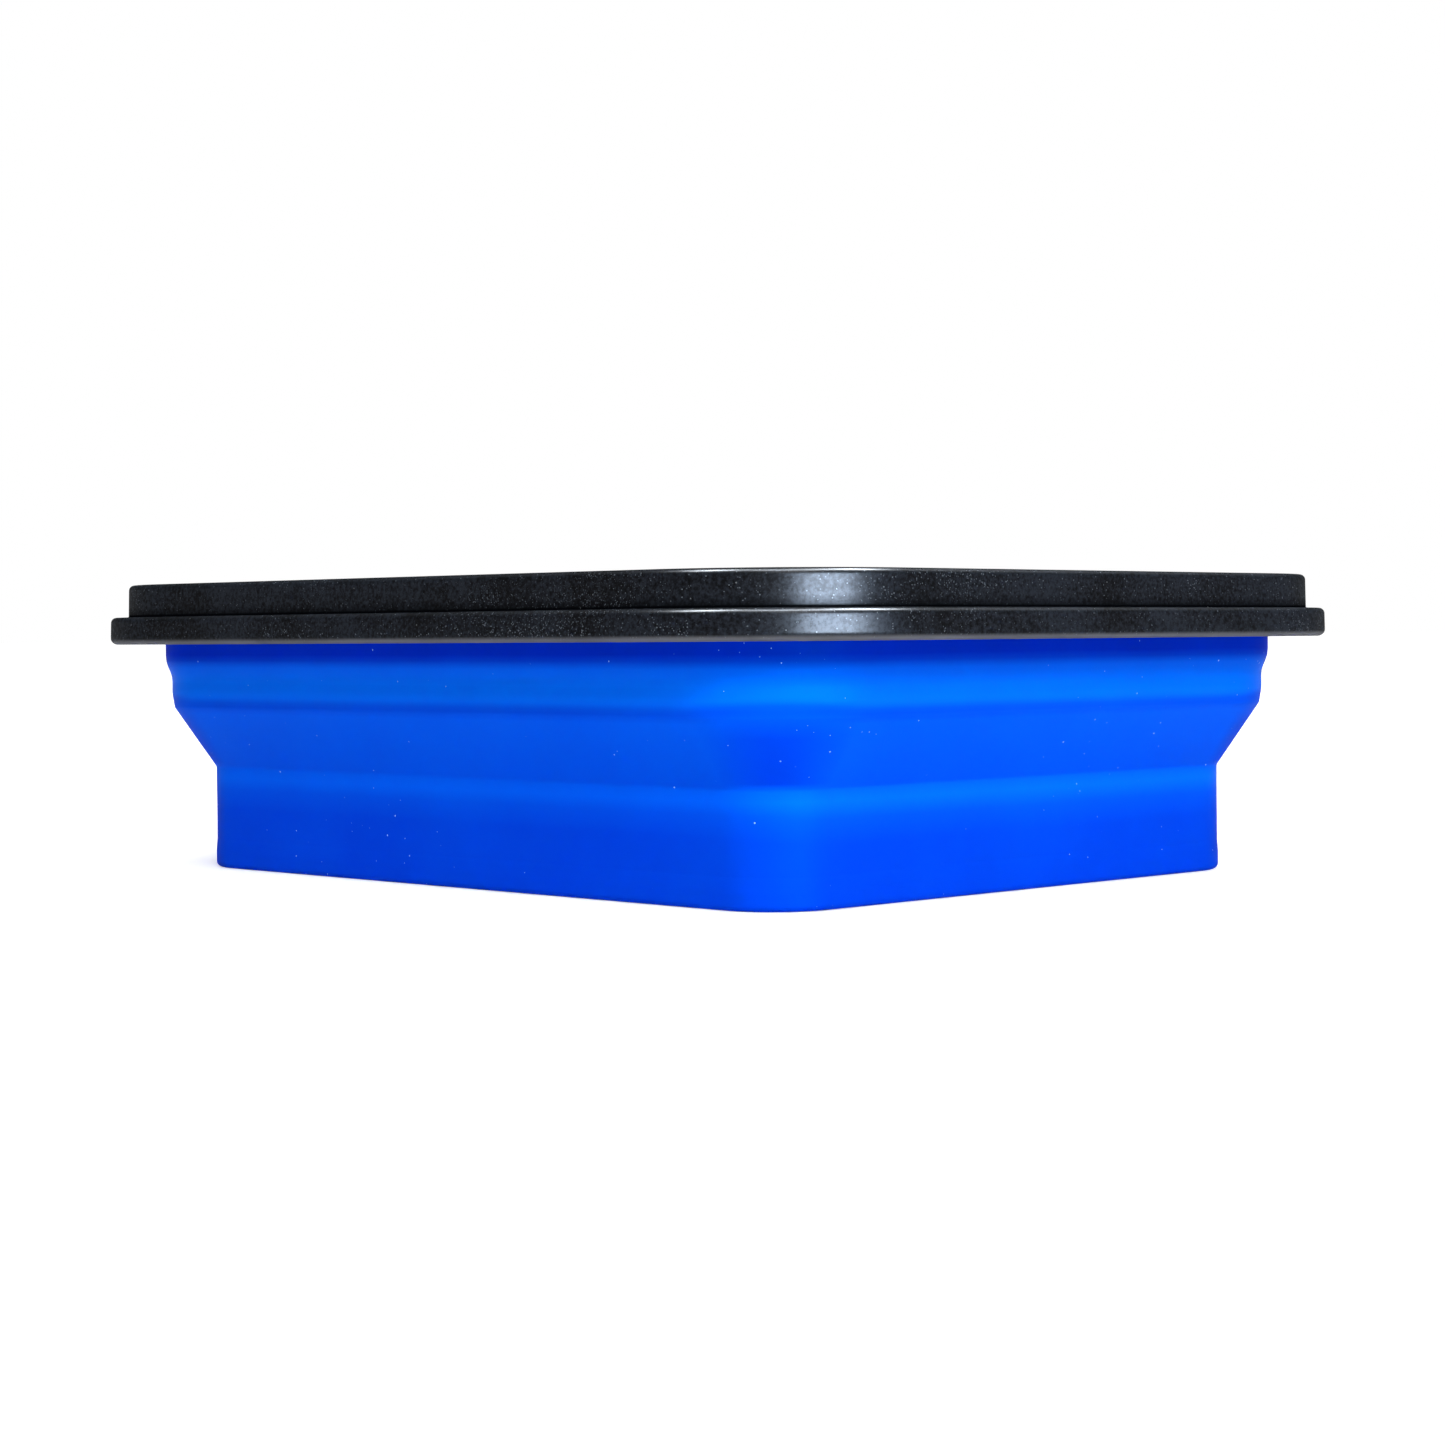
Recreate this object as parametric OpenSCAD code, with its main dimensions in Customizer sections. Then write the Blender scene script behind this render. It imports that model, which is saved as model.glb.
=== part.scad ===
// Collapsible food box: a soft silicone body with one folding wall, a rigid
// rim frame and a press-on lid with a seal and a vent flap.
// Every wall is one profile swept round the same inner rectangle, the core.
// In a profile, r is the distance out from the core and z the height.

/* [Overall] */
// Width across the lid's edge, along X
lid_w = 180; // [150:1:240]
// Length across the lid's edge, along Y
lid_l = 216.5; // [170:0.5:300]
// Corner radius of the lid's edge in plan
corner_r = 34.65; // [28:0.05:45]

/* [Silicone body] */
// Height from the table to the lower crease
tub_h = 21.25; // [16:0.25:30]
// Height of the leaning fold panel
fold_rise = 12.65; // [9:0.05:16]
// How far the fold panel leans out
fold_run = 8.5; // [6:0.1:10.5]
// Height of the upper hinge band
band_h = 6.5; // [4:0.1:9]
// How far the hinge band leans out
band_lean = 0.45; // [0:0.05:1]
// Height of the step between hinge band and collar
step_h = 3.1; // [2:0.1:4]
// How far the step comes out
step_out = 1.35; // [0.5:0.05:2]
// Height of the collar above the step
collar_h = 8.5; // [7.5:0.1:12]
// Thickness of the tub wall
tub_wall = 2.2; // [1.6:0.1:3]
// Thickness of the fold panel at its middle
fold_t = 1.9; // [1.5:0.1:2.6]
// Thickness at the hinges
hinge_t = 1.3; // [1:0.05:1.6]
// Thickness of the collar
collar_t = 2.8; // [2.4:0.1:3.6]
// Thickness of the floor
floor_t = 2.8; // [2:0.1:4]
// Height of the lower hinge zone below the crease
low_hinge_h = 5.2; // [3:0.1:7]
// Width of the foot ring under the tub
foot_w = 3.6; // [2.5:0.1:6]
// How far the foot ring stands below the floor
foot_h = 0.8; // [0.4:0.1:1.5]
// How far the bottom edge stands out from the tub wall
foot_out = 0.2; // [0:0.05:0.6]
// Rounding of the bottom edge
edge_r = 1.2; // [0.6:0.1:2]
// Rounding inside between floor and wall
inner_r = 3; // [2:0.5:5]
// How far the collar's top bead locks into the frame
bead_out = 1.2; // [0.6:0.1:1.6]
// Height of that bead
bead_h = 2; // [1.5:0.1:2.5]

/* [Rim frame] */
// Thickness of the land that the seal presses on
land_t = 2; // [1.5:0.1:3]
// Thickness of the frame's wall outside the collar
frame_wall = 3.2; // [2.6:0.1:4]
// Thickness of the frame's outer flange
frame_flange_t = 2.6; // [2:0.1:3.2]

/* [Lid] */
// Thickness of the lid's walls
lid_wall = 1.8; // [1.4:0.1:2.2]
// Distance from the collar's outer face to the lid's edge
overhang = 11.35; // [10.5:0.05:13]
// How far the lid's edge stands out from the band above it
edge_out = 3.8; // [2.5:0.1:4.5]
// Height of the band above the edge
lid_band_h = 6.75; // [6:0.05:8]
// Height of the lid's edge
lid_edge_h = 5.65; // [5:0.05:6.5]
// Depth of the panel below the lid's top
recess = 4; // [3:0.1:5]
// How far the plug wall reaches down inside the collar
plug_h = 3.4; // [2:0.1:4]
// Height of the seal
seal_h = 3.6; // [3:0.1:4.5]
// Width of the seal
seal_w = 4.4; // [3.5:0.1:5]
// Height of the rib outside the seal
rib_h = 1.8; // [1:0.1:2.2]
// Width of that rib
rib_w = 1.2; // [0.8:0.1:1.5]
// How far the lid's upright faces lean in towards the top
draft = 0.15; // [0:0.05:0.3]
// Rounding of the lid's outer edges
round_r = 0.9; // [0.4:0.1:1.2]
// Rounding where the band meets the edge
blend_r = 0.9; // [0.4:0.1:1.2]

/* [Vent] */
// Distance from the vent hole to the end wall of the lid's recess
vent_end = 30; // [16:1:50]
// Depth of the well that the vent lies in
well_d = 2; // [1.8:0.1:2.6]
// Room round the vent in its well
well_room = 1.5; // [1:0.1:2.5]
// Distance from the vent hole to the flap's hinge
flap_reach = 21; // [16:0.5:26]
// Width of the flap
flap_w = 12; // [10:0.5:16]
// Thickness of the flap
flap_t = 1.6; // [1.2:0.1:2]
// Length of the pull tab past the hole
tab_l = 8; // [6:0.5:12]
// Radius of the vent hole
vent_r = 3.2; // [2.5:0.1:4]
// Length of the plug under the flap
vent_plug_h = 3; // [2.5:0.1:4]
// Length of the anchor's button
anchor_len = 13; // [12:0.5:16]
// Radius of the anchor's stem
stem_r = 2.4; // [1.8:0.1:3]
// How far the anchor's lower head stands out from its stem
head_out = 1.6; // [1:0.1:2.5]
// Height of that lower head
head_h = 1.4; // [1:0.1:2]

/* [Fits] */
// Gap between pieces that slide past each other
clearance = 0.3; // [0.2:0.05:0.5]
// Gap between the seal and the land
seal_gap = 0.2; // [0.1:0.05:0.4]
// Gap under the flap
flap_gap = 0.15; // [0.1:0.05:0.3]
// Gap between the vent plug and its hole, at the top
plug_gap = 0.4; // [0.3:0.05:0.6]

/* [Hidden] */
$fn = 96;

SILICONE = "#0553ee";
BLACK = "#24272c";
NATURAL = "#d9dcdd";

core_x = lid_w / 2 - corner_r;
core_y = lid_l / 2 - corner_r;

// Distances from the core, from the outside in
band_r = corner_r - edge_out;
collar_r = corner_r - overhang;
collar_in = collar_r - collar_t;
hinge_top_r = collar_r - step_out;
fold_top_r = hinge_top_r - band_lean;
tub_r = fold_top_r - fold_run;
tub_in = tub_r - tub_wall;
frame_r = collar_r + frame_wall;
frame_edge_r = corner_r - lid_wall - clearance - 0.2;
plug_r = collar_in - clearance;
panel_r = plug_r - lid_wall;
seal_in = plug_r + 1;
rib_in = seal_in + seal_w + 0.4;

// Heights, from the table up
fold_z = tub_h + fold_rise;
step_z = fold_z + band_h;
collar_z = step_z + step_h;
rim_z = collar_z + collar_h;
land_z = rim_z + land_t;
lid_under = land_z + seal_gap + seal_h;
lid_top = lid_under + lid_wall;
edge_top = lid_top - lid_band_h;
edge_z = edge_top - lid_edge_h;
panel_top = lid_top - recess;
panel_z = panel_top - lid_wall;
plug_z = panel_z - plug_h;
frame_z = edge_z + 0.5;
bead_z = rim_z - bead_h - 0.8;

// The flap turns on a round edge of its own, level with the flap
vent_y = core_y + panel_r - vent_end;
hinge_y = vent_y - flap_reach;
anchor_y = hinge_y - anchor_len / 2;
well_top = panel_top - well_d;
well_z = panel_z - well_d;
flap_z = well_top + flap_gap;
hinge_z = flap_z + flap_t / 2;

// Points of an arc about c from angle a to angle b
function arc(c, r, a, b, n = 4) =
    [for (i = [0:n]) c + r * [cos(a + (b - a) * i / n), sin(a + (b - a) * i / n)]];

// A closed profile swept round the core: four straight runs, four corners
module swept(profile) {
    for (side = [0, 1]) mirror([side, 0, 0])
        translate([core_x, core_y, 0]) rotate([90, 0, 0])
            linear_extrude(height = 2 * core_y) polygon(profile);
    for (side = [0, 1]) mirror([0, side, 0])
        translate([-core_x, core_y, 0]) rotate([90, 0, 90])
            linear_extrude(height = 2 * core_x) polygon(profile);
    for (sx = [0, 1], sy = [0, 1]) mirror([sx, 0, 0]) mirror([0, sy, 0])
        translate([core_x, core_y, 0]) rotate_extrude(angle = 90) polygon(profile);
}

// The slab that closes a swept profile over the core
module core_slab(z0, z1) {
    translate([-core_x, -core_y, z0]) cube([2 * core_x, 2 * core_y, z1 - z0]);
}

// Strip from y0 to y1 with a half-round far end
module strip(w, y0, y1, h) {
    translate([-w / 2, y0, 0]) cube([w, y1 - w / 2 - y0, h]);
    translate([0, y1 - w / 2, 0]) rotate_extrude(angle = 180) square([w / 2, h]);
}

// The vent's outline grown by a margin, both ends round
module vent_outline(grow, z0, z1) {
    w = flap_w + 2 * grow;
    middle = (vent_y + tab_l + hinge_y - anchor_len) / 2;
    for (side = [0, 1])
        translate([0, middle, z0]) mirror([0, side, 0])
            strip(w, 0, vent_y + tab_l - middle + grow, z1 - z0);
}

// Lower cup: foot ring, floor and the wall up to the lower crease
module base_tub() {
    foot_r = tub_r + foot_out;
    foot_in = foot_r - foot_w;
    thin_r = tub_r - hinge_t;
    color(SILICONE) union() {
        swept(concat(
            [[0, foot_h], [foot_in - foot_h, foot_h], [foot_in, 0]],
            arc([foot_r - edge_r, edge_r], edge_r, -90, 0),
            [[foot_r, 3.5], [tub_r, 6], [tub_r, tub_h], [thin_r, tub_h],
             [thin_r, tub_h - low_hinge_h], [tub_in, tub_h - low_hinge_h - 1.5]],
            arc([tub_in - inner_r, floor_t + inner_r], inner_r, 0, -90),
            [[0, floor_t]]));
        core_slab(foot_h, floor_t);
    }
}

// Leaning panel between the two hinges, thin at both ends
module fold_wall() {
    len = sqrt(fold_run * fold_run + fold_rise * fold_rise);
    inward = [-fold_rise, fold_run] * fold_t / len;
    low = [tub_r, tub_h];
    high = [fold_top_r, fold_z];
    color(SILICONE) swept([
        low, high, [fold_top_r - hinge_t, fold_z],
        high - 0.16 * (high - low) + inward,
        low + 0.14 * (high - low) + inward,
        [tub_r - hinge_t, tub_h]]);
}

// Upper silicone wall: hinge band, step, collar and the bead that holds the frame
module collar() {
    color(SILICONE) swept([
        [fold_top_r, fold_z], [hinge_top_r, step_z], [collar_r, collar_z],
        [collar_r, bead_z], [collar_r + bead_out, bead_z + bead_out / 2],
        [collar_r + bead_out, bead_z + bead_h], [collar_r, bead_z + bead_h],
        [collar_r, rim_z], [collar_in, rim_z], [collar_in, fold_z + 1],
        [fold_top_r - hinge_t, fold_z]]);
}

// Rigid ring over the collar's top: land, wall with a groove for the bead, flange
module rim_frame() {
    flange_top = frame_z + frame_flange_t;
    color(BLACK) swept([
        [collar_in + 0.1, rim_z], [collar_r, rim_z], [collar_r, bead_z + bead_h],
        [collar_r + bead_out, bead_z + bead_h],
        [collar_r + bead_out, bead_z + bead_out / 2], [collar_r, bead_z],
        [collar_r, frame_z], [frame_edge_r - 0.5, frame_z], [frame_edge_r, frame_z + 0.5],
        [frame_edge_r, flange_top - 0.5], [frame_edge_r - 0.5, flange_top],
        [frame_r + 0.8, flange_top], [frame_r, flange_top + 0.8],
        [frame_r, land_z - 0.6], [frame_r - 0.6, land_z],
        [collar_in + 0.7, land_z], [collar_in + 0.1, land_z - 0.6]]);
}

// Lid in one moulding: edge, band, raised border, plug wall, recessed panel, vent well
module lid_shell() {
    skirt_in = corner_r - lid_wall;
    band_in = band_r - lid_wall;
    color(BLACK) difference() {
        union() {
            swept(concat(
                [[skirt_in, edge_z]],
                arc([corner_r - round_r, edge_z + round_r], round_r, -90, 0, 3),
                arc([corner_r - draft - round_r, edge_top - round_r], round_r, 0, 90, 3),
                arc([band_r + blend_r, edge_top + blend_r], blend_r, -90, -180, 3),
                arc([band_r - draft - round_r, lid_top - round_r], round_r, 0, 90, 3),
                arc([panel_r + round_r, lid_top - round_r], round_r, 90, 180, 3),
                [[panel_r, panel_top], [0, panel_top], [0, panel_z], [panel_r, panel_z],
                 [panel_r + 0.4, plug_z], [plug_r - 0.4, plug_z], [plug_r, plug_z + 1.2],
                 [plug_r, lid_under], [rib_in, lid_under], [rib_in, lid_under - rib_h],
                 [rib_in + rib_w, lid_under - rib_h], [rib_in + rib_w, lid_under],
                 [band_in, lid_under], [band_in, edge_top - lid_wall],
                 [skirt_in, edge_top - lid_wall]]));
            core_slab(panel_z, panel_top);
            vent_outline(well_room + lid_wall, well_z, panel_top);
        }
        vent_outline(well_room, well_top, panel_top + 1);
        translate([0, vent_y, well_z - 1]) cylinder(h = lid_wall + 2, r = vent_r);
        translate([0, anchor_y, well_z - 1]) cylinder(h = lid_wall + 2, r = stem_r);
    }
}

// Seal in the groove under the lid's border, with two lips over the land
module lid_seal() {
    seal_z = lid_under - seal_h;
    mid = seal_in + seal_w / 2;
    color(NATURAL) swept([
        [seal_in, lid_under], [seal_in, seal_z + 1], [seal_in + 0.5, seal_z],
        [mid - 0.9, seal_z], [mid, seal_z + 0.9], [mid + 0.9, seal_z],
        [seal_in + seal_w - 0.5, seal_z], [seal_in + seal_w, seal_z + 1],
        [seal_in + seal_w, lid_under]]);
}

// Anchor of the vent flap: button, stem through the panel and a lower head
module vent_anchor() {
    color(SILICONE) {
        translate([0, hinge_y, well_top]) mirror([0, 1, 0])
            strip(flap_w, flap_t / 2 + flap_gap, anchor_len, flap_t + flap_gap);
        translate([0, anchor_y, well_z - head_h]) {
            cylinder(h = head_h + lid_wall + flap_t / 2, r = stem_r);
            cylinder(h = head_h, r1 = stem_r, r2 = stem_r + head_out);
        }
    }
}

// Vent flap: round hinge edge, strip with a pull tab, and a tapered plug
module vent_flap() {
    color(SILICONE) {
        translate([-flap_w / 2, hinge_y, hinge_z]) rotate([0, 90, 0])
            cylinder(h = flap_w, r = flap_t / 2);
        translate([0, 0, flap_z]) strip(flap_w, hinge_y, vent_y + tab_l, flap_t);
        translate([0, vent_y, flap_z - vent_plug_h])
            cylinder(h = vent_plug_h + flap_t / 2, r1 = vent_r - plug_gap - 0.5,
                     r2 = vent_r - plug_gap);
    }
}

base_tub();
fold_wall();
collar();
rim_frame();
lid_shell();
lid_seal();
vent_anchor();
vent_flap();
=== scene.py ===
import math

import bmesh
import bpy
from mathutils import Matrix, Vector, noise


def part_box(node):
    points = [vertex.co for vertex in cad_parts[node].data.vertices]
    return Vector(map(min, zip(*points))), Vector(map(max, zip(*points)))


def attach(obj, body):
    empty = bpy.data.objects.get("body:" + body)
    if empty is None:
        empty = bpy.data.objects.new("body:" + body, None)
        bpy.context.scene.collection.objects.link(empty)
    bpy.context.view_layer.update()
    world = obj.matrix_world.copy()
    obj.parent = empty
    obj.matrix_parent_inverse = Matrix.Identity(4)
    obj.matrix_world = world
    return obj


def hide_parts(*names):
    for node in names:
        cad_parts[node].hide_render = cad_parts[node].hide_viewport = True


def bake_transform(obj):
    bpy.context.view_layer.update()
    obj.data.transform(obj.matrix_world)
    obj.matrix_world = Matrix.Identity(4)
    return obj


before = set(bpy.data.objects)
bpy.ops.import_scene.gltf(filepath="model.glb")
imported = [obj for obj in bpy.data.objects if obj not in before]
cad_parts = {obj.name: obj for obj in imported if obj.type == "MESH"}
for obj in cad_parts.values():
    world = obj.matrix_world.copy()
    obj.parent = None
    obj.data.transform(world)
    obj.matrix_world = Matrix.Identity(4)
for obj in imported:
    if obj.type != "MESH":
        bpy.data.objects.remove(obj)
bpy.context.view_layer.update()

bl_info = {
    "name": "Collapsible Food Box",
    "version": (1, 0, 0),
    "blender": (4, 5, 0),
    "location": "3D View > Sidebar > Food Box",
    "description": "Builds a collapsible silicone food box with a press-on lid, and its studio",
    "category": "Object",
}

MM = 0.001


# ---------------------------------------------------------------- settings


def length(label, text, default):
    """A size in metres."""
    return bpy.props.FloatProperty(
        name=label, description=text, default=default, min=0.0, precision=5,
        subtype="DISTANCE", unit="LENGTH")


def amount(label, text, default, high=1.0):
    """A plain factor."""
    return bpy.props.FloatProperty(
        name=label, description=text, default=default, min=0.0, max=high,
        subtype="FACTOR", unit="NONE")


def colour(label, text, default):
    """A linear colour."""
    return bpy.props.FloatVectorProperty(
        name=label, description=text, default=default, size=3, min=0.0, max=1.0,
        subtype="COLOR")


def angle(label, text, degrees):
    """An angle, stored in radians."""
    return bpy.props.FloatProperty(
        name=label, description=text, default=math.radians(degrees),
        subtype="ANGLE", unit="ROTATION")


class FoodBoxSizes(bpy.types.PropertyGroup):
    """Sizes that the frame's boxes don't give."""

    corner_r: length("Corner Radius", "Corner radius of the lid's edge in plan", 34.65 * MM)
    foot_out: length("Foot Flare", "How far the bottom edge stands out", 0.2 * MM)
    foot_w: length("Foot Width", "Width of the foot ring", 3.6 * MM)
    foot_h: length("Foot Height", "How far the foot ring stands down", 0.8 * MM)
    tub_wall: length("Tub Wall", "Thickness of the tub wall", 2.2 * MM)
    floor_t: length("Floor", "Thickness of the floor", 2.8 * MM)
    hinge_t: length("Hinge", "Thickness at the hinges", 1.3 * MM)
    low_hinge_h: length("Low Hinge", "Height of the hinge zone below the crease", 5.2 * MM)
    fold_t: length("Fold Panel", "Thickness of the fold panel", 1.9 * MM)
    band_h: length("Hinge Band", "Height of the upper hinge band", 6.5 * MM)
    band_lean: length("Band Lean", "How far the hinge band leans out", 0.45 * MM)
    step_h: length("Step Height", "Height of the step below the collar", 3.1 * MM)
    step_out: length("Step Out", "How far the step comes out", 1.35 * MM)
    collar_t: length("Collar", "Thickness of the collar", 2.8 * MM)
    bead_out: length("Bead", "How far the collar's bead locks into the frame", 1.2 * MM)
    bead_drop: length("Bead Drop", "How far the bead's top is below the rim", 0.8 * MM)
    bead_h: length("Bead Height", "Height of the collar's bead", 2.0 * MM)
    frame_wall: length("Frame Wall", "How far the frame's wall stands out", 3.2 * MM)
    flange_t: length("Flange", "Thickness of the frame's flange", 2.6 * MM)
    lid_wall: length("Lid Wall", "Thickness of the lid's walls", 1.8 * MM)
    edge_out: length("Lid Edge", "How far the lid's edge stands out from the band", 3.8 * MM)
    band_lid_h: length("Lid Band", "Height of the band above the lid's edge", 6.75 * MM)
    recess: length("Recess", "Depth of the panel below the lid's top", 4.0 * MM)
    draft: length("Draft", "How far the lid's upright faces lean in", 0.15 * MM)
    plug_gap: length("Plug Gap", "Room between the lid's plug and the collar", 0.3 * MM)
    plug_h: length("Plug Height", "How far the lid's plug stands below its panel", 3.4 * MM)
    seal_w: length("Seal Width", "Width of the seal", 4.4 * MM)
    rib_gap: length("Rib Gap", "Room between the seal and the rib outside it", 0.4 * MM)
    rib_t: length("Rib", "Thickness of the seal's rib", 1.2 * MM)
    rib_h: length("Rib Height", "Height of the seal's rib", 1.8 * MM)
    well_d: length("Well Depth", "Depth of the vent's well", 2.0 * MM)
    well_room: length("Well Room", "Room round the vent in its well", 1.5 * MM)
    vent_r: length("Vent Hole", "Radius of the vent hole", 3.2 * MM)
    vent_gap: length("Vent Gap", "Room round the plug in the vent hole", 0.4 * MM)
    stem_r: length("Stem Hole", "Radius of the hole for the vent's anchor", 2.4 * MM)
    tab_l: length("Tab", "From the flap's end to the middle of the vent hole", 8.0 * MM)
    flap_gap: length("Flap Gap", "Room between the flap and the floor of its well", 0.15 * MM)
    flap_hinge_r: length("Flap Hinge", "Radius of the flap's hinge edge", 0.8 * MM)
    waviness: length("Waviness", "How far the soft walls wander", 0.14 * MM)


class FoodBoxFinish(bpy.types.PropertyGroup):
    """Colours and surface amounts."""

    silicone: colour("Silicone", "Silicone where it doesn't glow", (0.0002, 0.026, 0.60))
    # The lit colour is painted light: it stands in for light shining through the thin walls.
    silicone_lit: colour("Lit Silicone", "Silicone where it glows most", (0.0005, 0.160, 1.0))
    plastic: colour("Plastic", "Lid and rim frame", (0.0038, 0.0050, 0.0074))
    seal: colour("Seal", "Natural silicone of the seal", (0.62, 0.65, 0.66))
    dust: amount("Dust", "How much dust clings to the surfaces", 0.5)
    # This amount sets how many glints are painted on the plastic; it does not deepen the bump
    # texture.
    grain_and_glints: amount("Painted Glint Amount", "Depth of the plastic's fine texture", 0.55)


class FoodBoxStage(bpy.types.PropertyGroup):
    """Camera and light."""

    camera_at: bpy.props.FloatVectorProperty(
        name="Camera Place", description="Where the camera stands", size=3,
        default=(-0.43288, -0.43926, 0.04845), subtype="TRANSLATION", unit="LENGTH")
    camera_turn: angle("Camera Turn", "Heading of the camera, from +Y towards +X", 44.905)
    camera_dip: angle("Camera Dip", "How far the camera looks down", 1.710)
    camera_roll: angle("Camera Roll", "How far the camera is tilted sideways", 0.440)
    lens: bpy.props.FloatProperty(
        name="Lens", description="Focal length in millimetres on a 36 mm sensor",
        default=73.72, min=10.0, subtype="DISTANCE_CAMERA", unit="CAMERA")
    sky: amount("Sky", "Level of the plain light from all round", 0.27, 4.0)
    floor_white: colour("Floor", "Colour of the floor", (0.86, 0.86, 0.86))


def sizes():
    return bpy.context.scene.food_box_sizes


def finish():
    return bpy.context.scene.food_box_finish


def stage():
    return bpy.context.scene.food_box_stage


class Shape:
    """Places worked out from the frame's boxes: r is the distance out from the core."""

    def __init__(self, s):
        lid_low, lid_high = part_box("lid_shell")
        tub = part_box("base_tub")[1]
        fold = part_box("fold_wall")[1]
        frame_low, frame_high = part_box("rim_frame")
        seal_low, seal_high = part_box("lid_seal")
        flap_low, flap_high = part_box("vent_flap")
        anchor_low, anchor_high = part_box("vent_anchor")
        self.core = (lid_high[0] - s.corner_r, lid_high[1] - s.corner_r)
        self.foot_r = tub[0] - self.core[0]
        self.tub_r = self.foot_r - s.foot_out
        self.crease_z = tub[2]
        self.fold_r = fold[0] - self.core[0]
        self.fold_z = fold[2]
        self.band_r = self.fold_r + s.band_lean
        self.step_z = self.fold_z + s.band_h
        self.collar_r = self.band_r + s.step_out
        self.collar_z = self.step_z + s.step_h
        self.collar_in = self.collar_r - s.collar_t
        self.rim_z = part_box("collar")[1][2]
        self.bead_r = self.collar_r + s.bead_out
        self.bead_top = self.rim_z - s.bead_drop
        self.bead_low = self.bead_top - s.bead_h
        self.frame_r = frame_high[0] - self.core[0]
        self.frame_z = frame_low[2]
        self.land_z = frame_high[2]
        self.lid_r = s.corner_r
        self.edge_z = lid_low[2]
        self.lid_top = lid_high[2]
        self.edge_top = self.lid_top - s.band_lid_h
        self.lid_band_r = s.corner_r - s.edge_out
        self.lid_under = seal_high[2]
        self.seal_r = seal_high[0] - self.core[0]
        self.seal_z = seal_low[2]
        self.panel_top = self.lid_top - s.recess
        self.panel_z = self.panel_top - s.lid_wall
        self.well_z = self.panel_top - s.well_d
        self.well_under = self.panel_z - s.well_d
        self.flap = (flap_low, flap_high)
        self.anchor = (anchor_low, anchor_high)
        self.hinge_y = flap_low[1] + s.flap_hinge_r
        self.anchor_y = (anchor_low[1] + self.hinge_y) / 2
        self.vent_y = flap_high[1] - s.tab_l


# ------------------------------------------------------------ mesh helpers


def rounded_path(corners, closed=False, step=10.0, longest=1.6 * MM):
    """Corners (r, z, radius) as a path whose corners are arcs of steps that many degrees."""
    count = len(corners)
    places = [Vector(corner[:2]) for corner in corners]
    bends = []
    for i, (r, z, radius) in enumerate(corners):
        if radius <= 0 or (not closed and i in (0, count - 1)):
            bends.append((0.0, 0.0))
            continue
        half = (places[i - 1] - places[i]).angle(places[(i + 1) % count] - places[i]) / 2
        bends.append((radius / math.tan(half), half))
    path = []
    for i, here in enumerate(places):
        cut, half = bends[i]
        if cut == 0:
            path.append(here)
            continue
        after = (i + 1) % count
        for other in (i - 1, after):
            run = (places[other] - here).length
            cut = min(cut, 0.96 * run * bends[i][0] / (bends[i][0] + bends[other][0]))
        to_last = (places[i - 1] - here).normalized()
        to_next = (places[after] - here).normalized()
        radius = cut * math.tan(half)
        middle = here + (to_last + to_next).normalized() * (radius / math.sin(half))
        first = here + to_last * cut - middle
        turn = first.angle_signed(here + to_next * cut - middle)
        steps = max(2, round(math.degrees(abs(turn)) / step))
        for k in range(steps + 1):
            path.append(middle + Matrix.Rotation(-turn * k / steps, 2) @ first)
    return supported(path, closed, longest)


def supported(path, closed, longest, near=0.3 * MM, flat=6 * MM):
    """The path with points near the ends of its straight runs, and along the long ones."""
    out = []
    pairs = zip(path, path[1:] + path[:1]) if closed else zip(path, path[1:])
    for a, b in pairs:
        run = (b - a).length
        out.append(a)
        if run < 1.2 * MM:
            continue
        spacing = longest if abs(b.y - a.y) > 0.5 * abs(b.x - a.x) else flat
        pieces = max(1, round((run - 2 * near) / spacing))
        for k in range(pieces + 1):
            out.append(a.lerp(b, (near + (run - 2 * near) * k / pieces) / run))
    if not closed:
        out.append(path[-1])
    return out


def rail(core_x, core_y, corner_steps=22, spacing=5 * MM, near=0.8 * MM):
    """Points (x, y, normal x, normal y) round a rectangle, turning at each corner."""
    points = []
    quarter = math.pi / 2
    for side in range(4):
        x = core_x if side in (0, 3) else -core_x
        y = core_y if side in (0, 1) else -core_y
        for k in range(corner_steps + 1):
            t = (side + k / corner_steps) * quarter
            points.append((x, y, math.cos(t), math.sin(t)))
        run = 2 * (core_x if side in (0, 2) else core_y)
        if run < 2 * MM:
            points.pop()
            continue
        nx, ny = math.cos((side + 1) * quarter), math.sin((side + 1) * quarter)
        pieces = max(2, round(run / spacing))
        inner = [near / run] + [k / pieces for k in range(1, pieces)] + [1 - near / run]
        for t in inner:
            points.append((x - ny * run * t, y + nx * run * t, nx, ny))
    return points


def sweep(bm, track, path, closed=False, label="edge", value=None):
    """Sweeps the path round the track and returns its loops; the value is kept on each vertex."""
    layer = bm.verts.layers.float.get(label) or bm.verts.layers.float.new(label)
    loops = []
    for point in path:
        loop = [bm.verts.new((x + nx * point.x, y + ny * point.x, point.y))
                for x, y, nx, ny in track]
        for v, (x, y, nx, ny) in zip(loop, track):
            v[layer] = value(point, nx, ny) if value else 0.0
        loops.append(loop)
    pairs = list(zip(loops, loops[1:]))
    if closed:
        pairs.append((loops[-1], loops[0]))
    count = len(track)
    for low, high in pairs:
        for i in range(count):
            j = (i + 1) % count
            bm.faces.new((low[i], low[j], high[j], high[i]))
    return loops


def loop_edges(bm, loop):
    """The edges along a closed loop of vertices, made where they are missing."""
    edges = []
    for a, b in zip(loop, loop[1:] + loop[:1]):
        edges.append(bm.edges.get((a, b)) or bm.edges.new((a, b)))
    return edges


def fill(bm, *loops):
    """A flat face inside the first loop, with holes where the other loops are."""
    edges = [e for loop in loops for e in loop_edges(bm, loop)]
    made = bmesh.ops.triangle_fill(bm, use_beauty=True, use_dissolve=False, edges=edges)
    if not made["geom"]:
        raise RuntimeError("a flat face could not be filled")


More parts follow.
